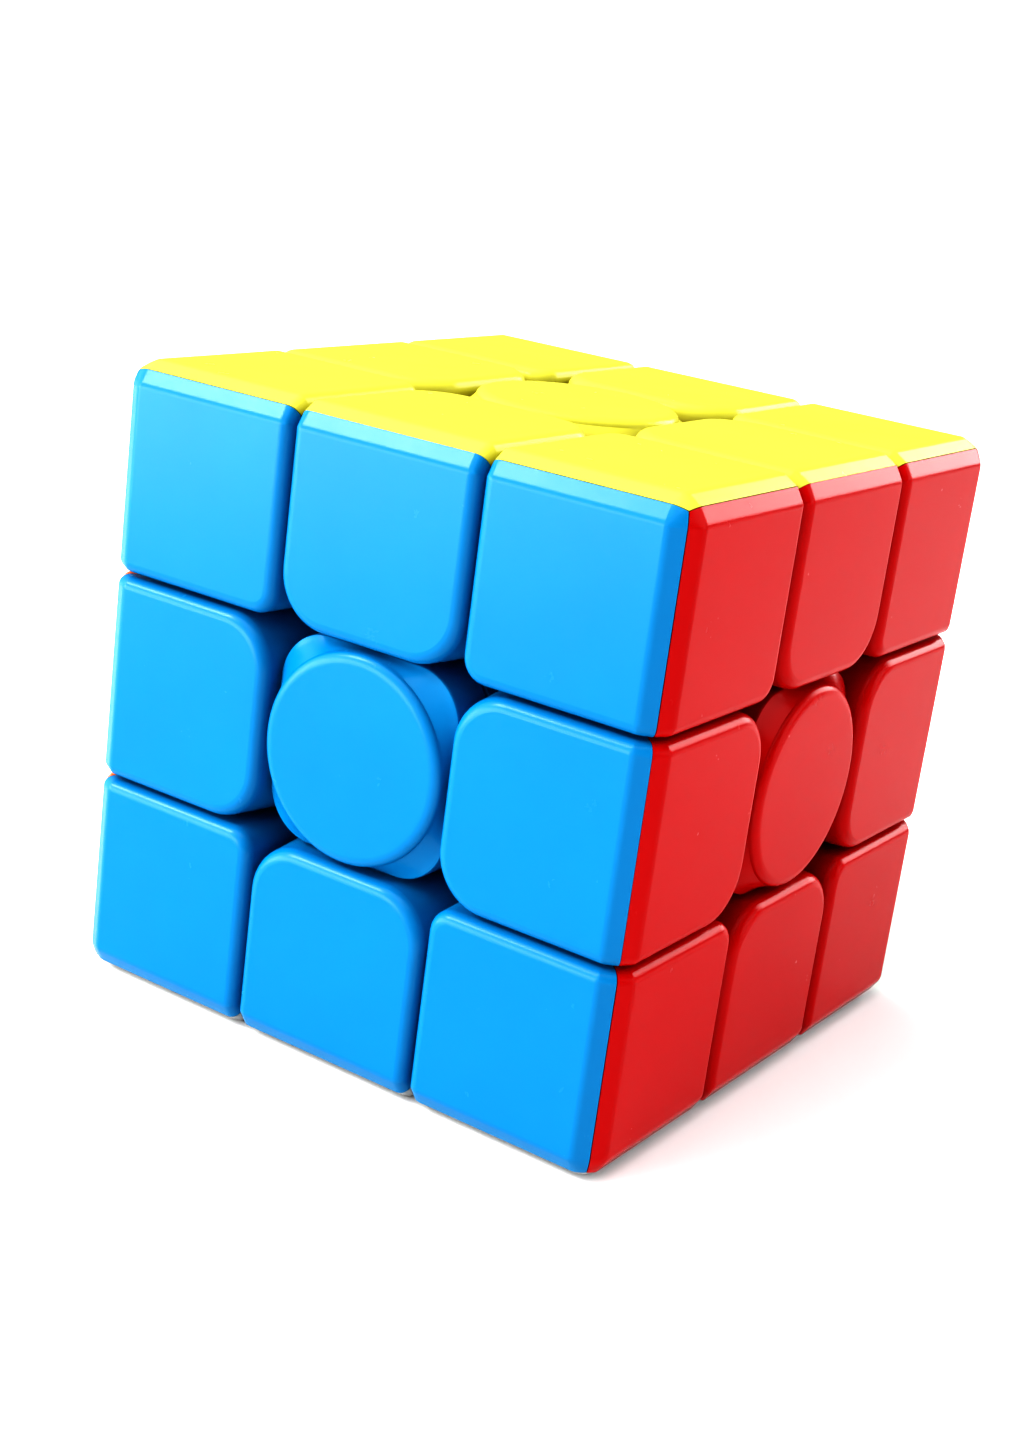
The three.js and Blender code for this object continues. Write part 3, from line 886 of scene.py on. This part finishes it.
def add_camera():
    """The camera looks slightly past the middle of the cube, rolled to one side."""
    data = bpy.data.cameras.new("camera")
    data.lens = LENS
    data.sensor_width = SENSOR
    data.clip_start = CLIP_START
    camera = new_object("camera", data)
    back = direction(LOOK_AZIMUTH, LOOK_ELEVATION)
    right = Vector((0, 0, 1)).cross(back).normalized()
    up = back.cross(right)
    upright = Matrix((right, up, back)).transposed()
    camera.matrix_world = (
        Matrix.Translation(direction(CAMERA_AZIMUTH, CAMERA_ELEVATION) * CAMERA_DISTANCE)
        @ upright.to_4x4()
        @ Matrix.Rotation(CAMERA_ROLL, 4, "Z")
    )
    bpy.context.scene.camera = camera


def add_floor():
    """A plain pale floor just under the cube."""
    bm = bmesh.new()
    bmesh.ops.create_grid(bm, x_segments=2, y_segments=2, size=FLOOR_SIZE)
    floor = new_object("floor", mesh_of(bm, "floor"))
    floor.location.z = CAD_BOX[0][2] - FLOOR_GAP
    material = bpy.data.materials.new("floor")
    material.use_nodes = True
    tree = material.node_tree
    shader = tree.nodes["Principled BSDF"]
    shader.inputs["Roughness"].default_value = FLOOR_ROUGHNESS
    shader.inputs["Specular IOR Level"].default_value = FLOOR_GLOSS
    grain = node(tree, "ShaderNodeTexNoise", Scale=200.0, Detail=3.0)
    ramp = ramp_node(tree, list(enumerate(FLOOR_LEVELS)))
    tree.links.new(grain.outputs["Fac"], ramp.inputs["Fac"])
    tree.links.new(ramp.outputs["Color"], shader.inputs["Base Color"])
    floor.data.materials.append(material)


def add_light(name, data, azimuth, elevation, distance):
    """Places a light at an azimuth and elevation in degrees, shining on the cube."""
    light = new_object(name, data)
    towards = direction(math.radians(azimuth), math.radians(elevation))
    light.location = towards * distance
    light.rotation_euler = towards.to_track_quat("Z", "Y").to_euler()
    return light


def add_sun(name, azimuth, elevation, spread, strength):
    """A large soft lamp far away."""
    data = bpy.data.lights.new(name, "SUN")
    data.energy = strength
    data.angle = math.radians(spread)
    add_light(name, data, azimuth, elevation, SUN_DISTANCE)


def add_softbox(name, azimuth, elevation, distance, size, watts):
    """A rectangular panel of light that the camera doesn't see."""
    data = bpy.data.lights.new(name, "AREA")
    data.shape = "RECTANGLE"
    data.size, data.size_y = size
    data.energy = watts
    add_light(name, data, azimuth, elevation, distance).visible_camera = False


def add_world():
    """A pale studio: white where the camera sees it, and it lights the cube more from one side."""
    world = bpy.data.worlds.new("studio")
    world.use_nodes = True
    tree = world.node_tree
    place = tree.nodes.new("ShaderNodeTexCoord")
    side = tree.nodes.new("ShaderNodeVectorMath")
    side.operation = "DOT_PRODUCT"
    side.inputs[1].default_value = direction(*BRIGHT_SIDE)
    tree.links.new(place.outputs["Generated"], side.inputs[0])
    walls = ramp_node(tree, WORLD_LEVELS)
    shift = node(tree, "ShaderNodeMapRange")
    shift.inputs["From Min"].default_value = -1
    tree.links.new(side.outputs["Value"], shift.inputs["Value"])
    tree.links.new(shift.outputs["Result"], walls.inputs["Fac"])
    seen = tree.nodes.new("ShaderNodeLightPath").outputs["Is Camera Ray"]
    sky = mix_node(tree, "MIX", seen, walls.outputs["Color"], (1, 1, 1, 1))
    tree.links.new(sky, tree.nodes["Background"].inputs["Color"])
    bpy.context.scene.world = world


add_camera()
add_floor()
add_world()
for sun in SUNS:
    add_sun(*sun)
add_softbox(*LOW_PANEL)
bpy.context.scene.view_settings.view_transform = "Standard"
bpy.context.scene.view_settings.look = "Very High Contrast"
